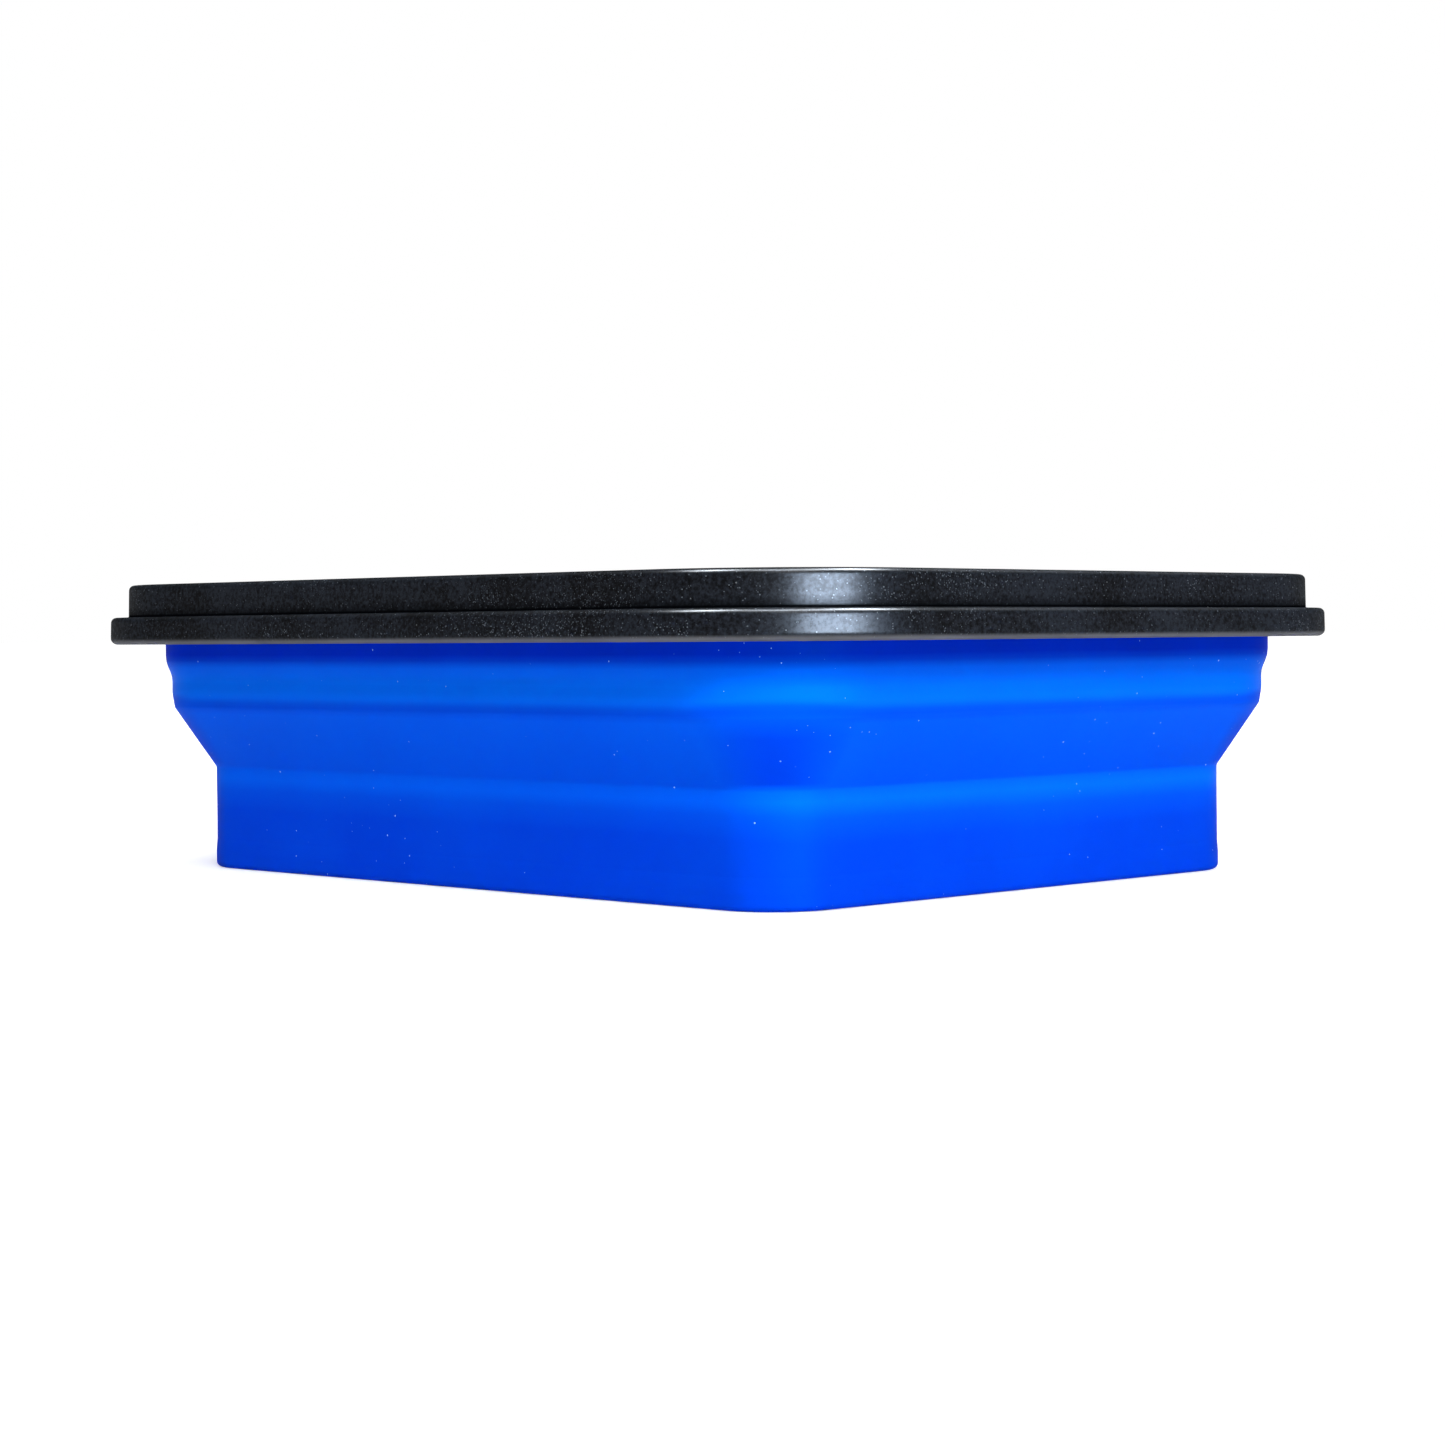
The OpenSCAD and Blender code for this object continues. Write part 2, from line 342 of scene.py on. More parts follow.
def build(name, bm, material, smooth=True):
    """Turns the bmesh into an object of that name."""
    bmesh.ops.remove_doubles(bm, verts=bm.verts, dist=0.002 * MM)
    bmesh.ops.recalc_face_normals(bm, faces=bm.faces)
    mesh = bpy.data.meshes.new(name)
    bm.to_mesh(mesh)
    bm.free()
    for polygon in mesh.polygons:
        polygon.use_smooth = smooth
    mesh.materials.append(material)
    piece = bpy.data.objects.new(name, mesh)
    bpy.context.collection.objects.link(piece)
    return piece


def wander(bm, reach, low, high, scale=28.0, fade=4 * MM):
    """Moves the soft walls between two heights a little way in and out, by smooth noise."""
    for v in bm.verts:
        if not low < v.co.z < high:
            continue
        ease = min((v.co.z - low) / fade, (high - v.co.z) / fade, 1.0)
        out = Vector((v.co.x, v.co.y, 0)).normalized()
        swell = noise.noise(Vector((v.co.x * scale, v.co.y * scale, v.co.z * scale * 1.6)))
        v.co += out * swell * reach * ease


# --------------------------------------------------------- shader helpers


class Graph:
    """Short calls for a node tree."""

    def __init__(self, tree):
        self.tree = tree
        self.nodes = tree.nodes

    def add(self, kind, **values):
        node = self.nodes.new(kind)
        for key, value in values.items():
            setattr(node, key, value)
        return node

    def link(self, source, target):
        self.tree.links.new(source, target)

    def feed(self, socket, value):
        """Links a socket, or sets a plain value."""
        if isinstance(value, bpy.types.NodeSocket):
            self.link(value, socket)
        else:
            socket.default_value = value

    def math(self, operation, a, b=0.0, clamp=False):
        node = self.add("ShaderNodeMath", operation=operation, use_clamp=clamp)
        self.feed(node.inputs[0], a)
        self.feed(node.inputs[1], b)
        return node.outputs[0]

    def mix(self, factor, a, b):
        node = self.add("ShaderNodeMix", data_type="RGBA")
        self.feed(node.inputs["Factor"], factor)
        self.feed(node.inputs[6], a)
        self.feed(node.inputs[7], b)
        return node.outputs[2]

    def blend(self, factor, a, b):
        node = self.add("ShaderNodeMix", data_type="FLOAT")
        self.feed(node.inputs["Factor"], factor)
        self.feed(node.inputs[2], a)
        self.feed(node.inputs[3], b)
        return node.outputs[0]

    def step(self, value, low, high):
        """0 below low, 1 above high, smooth between."""
        node = self.add("ShaderNodeMapRange", interpolation_type="SMOOTHSTEP")
        self.feed(node.inputs["Value"], value)
        node.inputs["From Min"].default_value = low
        node.inputs["From Max"].default_value = high
        return node.outputs["Result"]

    def noise(self, vector, scale, detail=2.0, rough=0.5):
        node = self.add("ShaderNodeTexNoise")
        self.link(vector, node.inputs["Vector"])
        self.feed(node.inputs["Scale"], scale)
        node.inputs["Detail"].default_value = detail
        node.inputs["Roughness"].default_value = rough
        return node.outputs["Fac"]

    def seen(self, path):
        """1 for the camera, glossy and transmission rays of a Light Path node."""
        rays = self.math("MAXIMUM", path.outputs["Is Camera Ray"], path.outputs["Is Glossy Ray"])
        return self.math("MAXIMUM", rays, path.outputs["Is Transmission Ray"])

    def group(self, tree, **values):
        node = self.add("ShaderNodeGroup", node_tree=tree)
        for key, value in values.items():
            self.feed(node.inputs[key.replace("_", " ")], value)
        return node


def new_group(name, inputs, outputs):
    """An empty shader group with named sockets, and its Graph, input and output nodes."""
    tree = bpy.data.node_groups.new(name, "ShaderNodeTree")
    for label, kind, default in inputs:
        socket = tree.interface.new_socket(name=label, in_out="INPUT", socket_type=kind)
        if default is not None:
            socket.default_value = default
    for label, kind in outputs:
        tree.interface.new_socket(name=label, in_out="OUTPUT", socket_type=kind)
    g = Graph(tree)
    return tree, g, g.add("NodeGroupInput").outputs, g.add("NodeGroupOutput").inputs


def dust_group():
    """Fine specks and short lint that cling to a surface."""
    found = bpy.data.node_groups.get("Clinging Dust")
    if found:
        return found
    tree, g, given, out = new_group(
        "Clinging Dust",
        [("Vector", "NodeSocketVector", None), ("Amount", "NodeSocketFloat", 0.5)],
        [("Mask", "NodeSocketFloat"), ("Height", "NodeSocketFloat")])
    cluster = g.step(g.noise(given["Vector"], 16.0, 2.0, 0.5), 0.40, 0.66)
    share = g.math("MULTIPLY", given["Amount"], g.blend(cluster, 0.12, 1.0))

    def specks(scale, size, part, seed, stretch=1.0):
        """Round specks, or short threads where the space is stretched."""
        place = g.add("ShaderNodeMapping")
        g.link(given["Vector"], place.inputs["Vector"])
        place.inputs["Location"].default_value = (seed, seed * 0.7, -seed)
        place.inputs["Rotation"].default_value = (seed * 0.3, seed * 0.8, seed)
        place.inputs["Scale"].default_value = (scale, scale, scale * stretch)
        cells = g.add("ShaderNodeTexVoronoi", feature="F1")
        g.link(place.outputs[0], cells.inputs["Vector"])
        cells.inputs["Scale"].default_value = 1.0
        random = g.add("ShaderNodeSeparateColor")
        g.link(cells.outputs["Color"], random.inputs["Color"])
        shown = g.math("LESS_THAN", random.outputs["Red"], g.math("MULTIPLY", share, part))
        reach = g.math("MULTIPLY", g.math("ADD", random.outputs["Green"], 0.4), size)
        near = g.math("LESS_THAN", cells.outputs["Distance"], reach)
        return g.math("MULTIPLY", g.math("MULTIPLY", shown, near), random.outputs["Blue"])

    mask = g.math("MAXIMUM", specks(650.0, 0.075, 0.8, 3.1), specks(330.0, 0.045, 0.6, 7.7))
    mask = g.math("MAXIMUM", mask, specks(420.0, 0.05, 0.5, 1.3, 0.12))
    g.link(mask, out["Mask"])
    g.link(g.math("MULTIPLY", mask, 0.3), out["Height"])
    return tree


def new_material(name):
    """A material with nodes: its Graph, Principled node and object coordinates."""
    material = bpy.data.materials.new(name)
    material.use_nodes = True
    g = Graph(material.node_tree)
    shader = g.nodes["Principled BSDF"]
    where = g.add("ShaderNodeTexCoord").outputs["Object"]
    return material, g, shader, where


def silicone_material(name, dull, bright, gloss=(0.0, 0.55, 1.0), dust=1.0, glows=True):
    """Satin moulded silicone, faintly cloudy, with dust; brighter by the mesh's glow value, a
    painted glow of light through the wall.
    """
    material, g, shader, where = new_material(name)
    if glows:
        read = g.add("ShaderNodeAttribute", attribute_type="GEOMETRY", attribute_name="glow")
        glow = read.outputs["Fac"]
    else:
        glow = 0.0
    cloud = g.noise(where, 38.0, 3.0, 0.55)
    haze = g.math("MULTIPLY", g.math("SUBTRACT", cloud, 0.5), 0.16)
    factor = g.math("ADD", glow, haze, clamp=True)
    body = g.mix(factor, (*dull, 1), (*bright, 1))
    specks = g.group(dust_group(), Vector=where, Amount=finish().dust * dust)
    dusty = g.math("MULTIPLY", specks.outputs["Mask"], 0.9)
    g.link(g.mix(dusty, body, (0.50, 0.76, 1.0, 1)), shader.inputs["Base Color"])
    smear = g.noise(where, 90.0, 4.0, 0.6)
    polish = g.math("SUBTRACT", 0.50, g.math("MULTIPLY", glow, 0.14))
    g.link(g.math("ADD", g.math("MULTIPLY", smear, 0.10), polish), shader.inputs["Roughness"])
    skin = g.noise(where, 2600.0, 2.0, 0.5)
    bump = g.add("ShaderNodeBump")
    bump.inputs["Strength"].default_value = 0.12
    bump.inputs["Distance"].default_value = 0.05 * MM
    g.link(g.math("ADD", skin, specks.outputs["Height"]), bump.inputs["Height"])
    g.link(bump.outputs["Normal"], shader.inputs["Normal"])
    shader.inputs["IOR"].default_value = 1.41
    shader.inputs["Specular IOR Level"].default_value = 0.012
    shader.inputs["Specular Tint"].default_value = (*gloss, 1)
    return material


def sparkle_group():
    """A spark-eroded mould's fine texture as a bump height, and glints painted as bright dots where
    its tiny facets would catch the light.
    """
    found = bpy.data.node_groups.get("Spark Texture")
    if found:
        return found
    tree, g, given, out = new_group(
        "Spark Texture",
        [("Vector", "NodeSocketVector", None), ("Amount", "NodeSocketFloat", 0.5)],
        [("Painted Glints", "NodeSocketFloat"), ("Height", "NodeSocketFloat")])
    cells = g.add("ShaderNodeTexVoronoi", feature="F1")
    g.link(given["Vector"], cells.inputs["Vector"])
    cells.inputs["Scale"].default_value = 4000.0
    pick = g.add("ShaderNodeSeparateColor")
    g.link(cells.outputs["Color"], pick.inputs["Color"])
    place = g.add("ShaderNodeMapping")
    g.link(given["Vector"], place.inputs["Vector"])
    place.inputs["Location"].default_value = (0.31, 0.17, 0.0)
    patch = g.step(g.noise(place.outputs[0], 32.0, 3.0, 0.6), 0.48, 0.64)
    share = g.math("MULTIPLY", g.math("MULTIPLY", given["Amount"], 0.38), g.blend(patch, 0.14, 1.0))
    chosen = g.math("LESS_THAN", pick.outputs["Red"], share)
    middle = g.math("SUBTRACT", 1.0, g.math("MULTIPLY", cells.outputs["Distance"], 1.4), clamp=True)
    power = g.math("POWER", pick.outputs["Green"], 1.5)
    bright = g.math("MULTIPLY", chosen, g.math("MULTIPLY", power, middle))
    g.link(bright, out["Painted Glints"])
    grit = g.noise(given["Vector"], 4200.0, 2.0, 0.6)
    pits = g.noise(given["Vector"], 1600.0, 2.0, 0.5)
    g.link(g.math("ADD", g.math("MULTIPLY", grit, 0.6), g.math("MULTIPLY", pits, 0.7)),
           out["Height"])
    return tree


def painted_reflection_group():
    """Painted reflection along an edge: a mask that thins out along the edge in soft patches."""
    found = bpy.data.node_groups.get("Painted Edge Reflection")
    if found:
        return found
    tree, g, given, out = new_group(
        "Painted Edge Reflection",
        [("Vector", "NodeSocketVector", None), ("Edge", "NodeSocketFloat", 0.0),
         ("Amount", "NodeSocketFloat", 0.5)],
        [("Mask", "NodeSocketFloat")])
    patch = g.blend(g.noise(given["Vector"], 55.0, 3.0, 0.6), 0.6, 1.4)
    g.link(g.math("MULTIPLY", given["Edge"], g.math("MULTIPLY", patch, given["Amount"]),
                  clamp=True), out["Mask"])
    return tree


def plastic_material(name, base, dust=1.0):
    """Black moulded plastic with a fine spark-eroded texture; its glints, shade in the groove and a
    reflection of the floor on faces that look down are painted into its colour.
    """
    material, g, shader, where = new_material(name)
    spark = g.group(sparkle_group(), Vector=where, Amount=finish().grain_and_glints)
    cloud = g.noise(where, 60.0, 3.0, 0.5)
    fleck = g.noise(where, 1400.0, 2.0, 0.7)
    tone = g.math("ADD", g.math("MULTIPLY", cloud, 0.4), g.math("MULTIPLY", fleck, 0.6))
    dark, pale, deep = [(*[c * level for c in base], 1) for level in (0.2, 2.4, 0.3)]
    body = g.mix(g.step(tone, 0.36, 0.64), dark, pale)
    # Painted glints: bright dots in the base colour where tiny facets would catch the light.
    body = g.mix(spark.outputs["Painted Glints"], body, (0.15, 0.175, 0.21, 1))
    facing = g.add("ShaderNodeSeparateXYZ")
    g.link(g.add("ShaderNodeTexCoord").outputs["Normal"], facing.inputs[0])
    mark = g.add("ShaderNodeAttribute", attribute_type="GEOMETRY", attribute_name="edge")
    edge = g.math("MULTIPLY", mark.outputs["Fac"], 1.0, clamp=True)
    # The groove marked by a negative edge value gets painted shade: the deep colour and no coat.
    groove = g.math("MULTIPLY", mark.outputs["Fac"], -1.0, clamp=True)
    body = g.mix(groove, body, deep)
    # Faces that look down are smoother, and get a paler grey in soft patches: a painted reflection
    # of the floor.
    lip = g.step(facing.outputs["Z"], -0.12, -0.8)
    painted_reflection = g.group(painted_reflection_group(), Vector=where, Edge=lip, Amount=0.8)
    body = g.mix(painted_reflection.outputs["Mask"], body, (0.14, 0.145, 0.16, 1))
    specks = g.group(dust_group(), Vector=where, Amount=finish().dust * dust)
    dusty = g.math("MULTIPLY", specks.outputs["Mask"], 0.3)
    g.link(g.mix(dusty, body, (0.30, 0.32, 0.34, 1)), shader.inputs["Base Color"])
    texture = g.math("ADD", g.math("MULTIPLY", fleck, 0.10), 0.23)
    smooth = g.math("MAXIMUM", edge, lip)
    g.link(g.blend(smooth, texture, 0.22), shader.inputs["Roughness"])
    bump = g.add("ShaderNodeBump")
    bump.inputs["Strength"].default_value = 0.5
    bump.inputs["Distance"].default_value = 0.04 * MM
    height = g.math("MULTIPLY", spark.outputs["Height"], g.math("SUBTRACT", 1.0, smooth))
    g.link(g.math("ADD", height, specks.outputs["Height"]), bump.inputs["Height"])
    g.link(bump.outputs["Normal"], shader.inputs["Normal"])
    shader.inputs["IOR"].default_value = 1.49
    shader.inputs["Specular IOR Level"].default_value = 0.0
    grain_and_glints = g.blend(g.step(fleck, 0.36, 0.64), 0.060, 0.084)
    gloss = g.blend(smooth, grain_and_glints, 0.085)
    g.link(g.math("MULTIPLY", gloss, g.math("SUBTRACT", 1.0, groove)),
           shader.inputs["Coat Weight"])
    shader.inputs["Coat Roughness"].default_value = 0.31
    shader.inputs["Coat IOR"].default_value = 1.6
    return material


def once(name, maker, *args, **values):
    """The material of that name, made the first time it is asked for."""
    return bpy.data.materials.get(name) or maker(name, *args, **values)


# ------------------------------------------------------------------ pieces


# How brightly the body's wall glows, tuned and not worked out from its
# thickness: a height of the body, how many millimetres above it, and the level there.
# The glow is painted light: light shining through the thin walls, painted into the silicone's base
# colour.
PAINTED_GLOW = [
    ("ground", 0, 0.20), ("crease", -10, 0.21), ("crease", -5.5, 0.39), ("crease", -4, 0.61),
    ("crease", -2.5, 0.80), ("crease", -0.9, 0.70), ("crease", 0.4, 0.45),
    ("fold", -1.1, 0.54), ("fold", 0.7, 0.28), ("fold", 1.5, 0.42), ("fold", 2.5, 0.86),
    ("step", -0.9, 0.95), ("step", 0.6, 0.76), ("step", 2, 0.64),
    ("collar", 0.3, 0.16), ("collar", 1.5, 0)]


class FoodBoxOperator(bpy.types.Operator):
    """Shared settings of the operators."""

    bl_options = {"REGISTER", "UNDO"}


class FOODBOX_OT_body(FoodBoxOperator):
    """One silicone moulding: foot, tub, fold panel, hinge band, step and collar"""

    bl_idname = "foodbox.body"
    bl_label = "Silicone Body"

    def execute(self, context):
        s = sizes()
        f = Shape(s)
        foot_in = f.foot_r - s.foot_w
        tub_in = f.tub_r - s.tub_wall
        thin_r = f.tub_r - s.hinge_t
        lean = Vector((f.fold_r - f.tub_r, f.fold_z - f.crease_z))
        inward = Vector((-lean.y, lean.x)).normalized() * s.fold_t
        high = Vector((f.fold_r, f.fold_z)) - lean * 0.16 + inward
        low = Vector((f.tub_r, f.crease_z)) + lean * 0.14 + inward
        corners = [
            (2 * MM, s.foot_h, 0), (foot_in - s.foot_h, s.foot_h, 0.5 * MM),
            (foot_in, 0, 0.5 * MM), (f.foot_r, 0, 1.2 * MM), (f.foot_r, 3.5 * MM, 2 * MM),
            (f.tub_r, 6 * MM, 2 * MM), (f.tub_r, f.crease_z, 0.9 * MM),
            (f.fold_r, f.fold_z, 1.1 * MM), (f.band_r + 0.05 * MM, f.fold_z + 3 * MM, 8 * MM),
            (f.band_r, f.step_z, 5 * MM), (f.collar_r, f.collar_z, 6 * MM),
            (f.collar_r, f.bead_low, 0.1 * MM),
            (f.bead_r, f.bead_low + s.bead_out / 2, 0.3 * MM), (f.bead_r, f.bead_top, 0.2 * MM),
            (f.collar_r, f.bead_top, 0.1 * MM), (f.collar_r, f.rim_z, 0.2 * MM),
            (f.collar_in, f.rim_z, 0.2 * MM), (f.collar_in, f.fold_z + 1 * MM, 1.5 * MM),
            (f.fold_r - s.hinge_t, f.fold_z, 0.5 * MM), (high.x, high.y, 2 * MM),
            (low.x, low.y, 2 * MM), (thin_r, f.crease_z, 1 * MM),
            (thin_r, f.crease_z - s.low_hinge_h, 2 * MM),
            (tub_in, f.crease_z - s.low_hinge_h - 1.5 * MM, 2 * MM),
            (tub_in, s.floor_t, 3 * MM), (2 * MM, s.floor_t, 0)]
        bm = bmesh.new()
        loops = sweep(bm, rail(*f.core), rounded_path(corners, longest=0.8 * MM),
                      label="glow", value=self.glow(f))
        bm.faces.new(loops[0])
        bm.faces.new(loops[-1])
        wander(bm, s.waviness, 3 * MM, f.collar_z + 2 * MM)
        material = once("Blue Silicone", silicone_material,
                        finish().silicone, finish().silicone_lit)
        piece = build("silicone_body", bm, material)
        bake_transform(piece)
        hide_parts("base_tub", "fold_wall", "collar")
        return {"FINISHED"}

    def glow(self, f):
        """A function that gives the wall's painted glow at a place."""
        heights = {"ground": 0.0, "crease": f.crease_z / MM, "fold": f.fold_z / MM,
                   "step": f.step_z / MM, "collar": f.collar_z / MM}
        stops = [(heights[name] + above, level) for name, above, level in PAINTED_GLOW]
        crease, fold = heights["crease"], heights["fold"]
        hinge_low, hinge_high = crease - 1.2, crease + 0.7

        def at(point, nx, ny):
            """The profile sits higher on the long sides of the cup and on the band's corners;
            painted shade dims the fold panel at the corners and the crease on the long sides.
            """
            z = point.y / MM
            corner = abs(2 * nx * ny)
            long_side = nx * nx
            if z < hinge_low:
                z = max(0.0, z - (0.3 + long_side) * min(1.0, (hinge_low - z) / 2))
            elif fold - 4 < z < fold + 4.6:
                z -= 0.8 * corner
            for (low, low_level), (high, high_level) in zip(stops, stops[1:]):
                if low <= z <= high:
                    level = low_level + (high_level - low_level) * (z - low) / (high - low)
                    if hinge_high < z < fold + 0.4:
                        level *= 1 - 0.7 * corner * min(1.0, (fold + 1.6 - z) / 6)
                    elif crease - 6 < z <= hinge_high:
                        level -= 0.6 * long_side * max(0.0, level - 0.5)
                    return level
            return 0.0

        return at


class FOODBOX_OT_frame(FoodBoxOperator):
    """Stiff plastic ring that holds the collar open and carries the lid"""

    bl_idname = "foodbox.frame"
    bl_label = "Rim Frame"

    def execute(self, context):
        s = sizes()
        f = Shape(s)
        wall_r = f.collar_r + s.frame_wall
        flange_top = f.frame_z + s.flange_t
        inner = f.collar_in + 0.1 * MM
        corners = [
            (inner, f.rim_z, 0.1 * MM), (f.collar_r, f.rim_z, 0), (f.collar_r, f.bead_top, 0),
            (f.bead_r, f.bead_top, 0.1 * MM), (f.bead_r, f.bead_low + s.bead_out / 2, 0.2 * MM),
            (f.collar_r, f.bead_low, 0), (f.collar_r, f.frame_z, 0.3 * MM),
            (f.frame_r, f.frame_z, 0.5 * MM), (f.frame_r, flange_top, 0.5 * MM),
            (wall_r, flange_top, 0.8 * MM), (wall_r, f.land_z, 0.6 * MM),
            (inner, f.land_z, 0.6 * MM)]
        bm = bmesh.new()
        sweep(bm, rail(*f.core), rounded_path(corners, closed=True), closed=True)
        piece = build("rim_frame_ring", bm,
                      once("Rim Plastic", plastic_material, finish().plastic))
        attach(piece, "rim")
        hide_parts("rim_frame")
        return {"FINISHED"}


class FOODBOX_OT_lid(FoodBoxOperator):
    """Press-on lid: edge, band, raised border, plug wall, recessed panel and vent well"""

    bl_idname = "foodbox.lid"
    bl_label = "Lid"

    def execute(self, context):
        s = sizes()
        f = Shape(s)
        skirt_in = f.lid_r - s.lid_wall
        band_in = f.lid_band_r - s.lid_wall
        plug_r = f.collar_in - s.plug_gap
        panel_r = plug_r - s.lid_wall
        plug_z = f.panel_z - s.plug_h
        rib_in = f.seal_r + s.rib_gap
        rib_out = rib_in + s.rib_t
        rib_z = f.lid_under - s.rib_h
        step_z = f.edge_top - s.lid_wall
        flat_r = panel_r - 3 * MM
        corners = [
            (flat_r, f.panel_top, 0), (panel_r, f.panel_top, 0.8 * MM),
            (panel_r, f.lid_top, 0.9 * MM), (f.lid_band_r - s.draft, f.lid_top, 1.1 * MM),
            (f.lid_band_r, f.edge_top, 0.35 * MM), (f.lid_r - s.draft, f.edge_top, 1.15 * MM),
            (f.lid_r, f.edge_z, 1.4 * MM), (skirt_in, f.edge_z, 0.2 * MM),
            (skirt_in, step_z, 0.6 * MM), (band_in, step_z, 0.6 * MM),
            (band_in, f.lid_under, 0.6 * MM), (rib_out, f.lid_under, 0.3 * MM),
            (rib_out, rib_z, 0.3 * MM), (rib_in, rib_z, 0.3 * MM),
            (rib_in, f.lid_under, 0.2 * MM), (plug_r, f.lid_under, 0.3 * MM),
            (plug_r, plug_z + 1.2 * MM, 0.8 * MM), (plug_r - 0.4 * MM, plug_z, 0.3 * MM),
            (panel_r + 0.4 * MM, plug_z, 0.3 * MM), (panel_r, f.panel_z, 0.8 * MM),
            (flat_r, f.panel_z, 0)]
        edges = [Vector((f.lid_band_r - s.draft, f.lid_top)),
                 Vector((f.lid_r - s.draft, f.edge_top)), Vector((panel_r, f.lid_top))]
        groove = Vector((f.lid_band_r, f.edge_top))
        groove_reach = 1.0 * MM
        fade = 0.7 * MM

        def rubbed(point, nx, ny):
            """1 on the rubbed edges, -1 in the groove above the lid's edge, where the plastic is
            given painted shade.
            """
            near = min((point - edge).length for edge in edges)
            deep = (point - groove).length
            return (min(1.0, max(0.0, 1.6 - near / fade))
                    - min(1.0, max(0.0, (groove_reach - deep) / fade)))

        bm = bmesh.new()
        loops = sweep(bm, rail(*f.core), rounded_path(corners), value=rubbed)
        well = self.well(bm, s, f)
        fill(bm, loops[0], well[0])
        fill(bm, loops[-1], well[1])
        piece = build("lid", bm, once("Lid Plastic", plastic_material, finish().plastic))
        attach(piece, "lid")
        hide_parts("lid_shell")
        return {"FINISHED"}

    def well(self, bm, s, f):
        """The vent's well with its two holes; returns its top and bottom loops."""
        low_y = f.anchor[0][1] - s.well_room
        high_y = f.flap[1][1] + s.well_room
        half_w = f.flap[1][0] + s.well_room
        middle = (low_y + high_y) / 2
        reach = (high_y - low_y) / 2 - half_w
        track = [(x, y + middle, nx, ny) for x, y, nx, ny in rail(0.0, reach, 12)]
        top, under = f.well_z, f.well_under
        out = half_w + s.lid_wall
        inside = sweep(bm, track, rounded_path([
            (half_w + 1.2 * MM, f.panel_top, 0), (half_w, f.panel_top, 0.4 * MM),
            (half_w, top, 0.5 * MM), (half_w - 1.5 * MM, top, 0)]))
        outside = sweep(bm, track, rounded_path([
            (out + 1.5 * MM, f.panel_z, 0), (out, f.panel_z, 0.5 * MM),
            (out, under, 0.5 * MM), (half_w - 1.5 * MM, under, 0)]))
        holes = []
        for y, r in ((f.vent_y, s.vent_r), (f.anchor_y, s.stem_r)):
            ring = [(x, yy + y, nx, ny) for x, yy, nx, ny in rail(0.0, 0.0, 10)]
            holes.append(sweep(bm, ring, rounded_path([
                (r + 0.5 * MM, top, 0), (r, top, 0.2 * MM), (r, under, 0.2 * MM),
                (r + 0.5 * MM, under, 0)])))
        fill(bm, inside[-1], *[h[0] for h in holes])
        fill(bm, outside[-1], *[h[-1] for h in holes])
        return inside[0], outside[0]


class FOODBOX_OT_seal(FoodBoxOperator):
    """Natural silicone seal in the groove under the lid's border"""

    bl_idname = "foodbox.seal"
    bl_label = "Lid Seal"

    def execute(self, context):
        s = sizes()
        f = Shape(s)
        high, low = f.lid_under, f.seal_z
        inner = f.seal_r - s.seal_w
        middle = f.seal_r - s.seal_w / 2
        corners = [
            (inner, high, 0.1 * MM), (inner, low + 1 * MM, 0.4 * MM),
            (inner + 0.5 * MM, low, 0.4 * MM), (middle - 0.9 * MM, low, 0.4 * MM),
            (middle, low + 0.9 * MM, 0.5 * MM), (middle + 0.9 * MM, low, 0.4 * MM),
            (f.seal_r - 0.5 * MM, low, 0.4 * MM), (f.seal_r, low + 1 * MM, 0.4 * MM),
            (f.seal_r, high, 0.1 * MM)]
        bm = bmesh.new()
        sweep(bm, rail(*f.core), rounded_path(corners, closed=True), closed=True)
        tone = finish().seal
        material = once("Natural Silicone", silicone_material, tone,
                        tuple(min(1.0, c * 1.15) for c in tone), (1.0, 1.0, 1.0),
                        dust=0.2, glows=False)
        piece = build("seal_ring", bm, material)
        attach(piece, "lid")
        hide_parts("lid_seal")
        return {"FINISHED"}


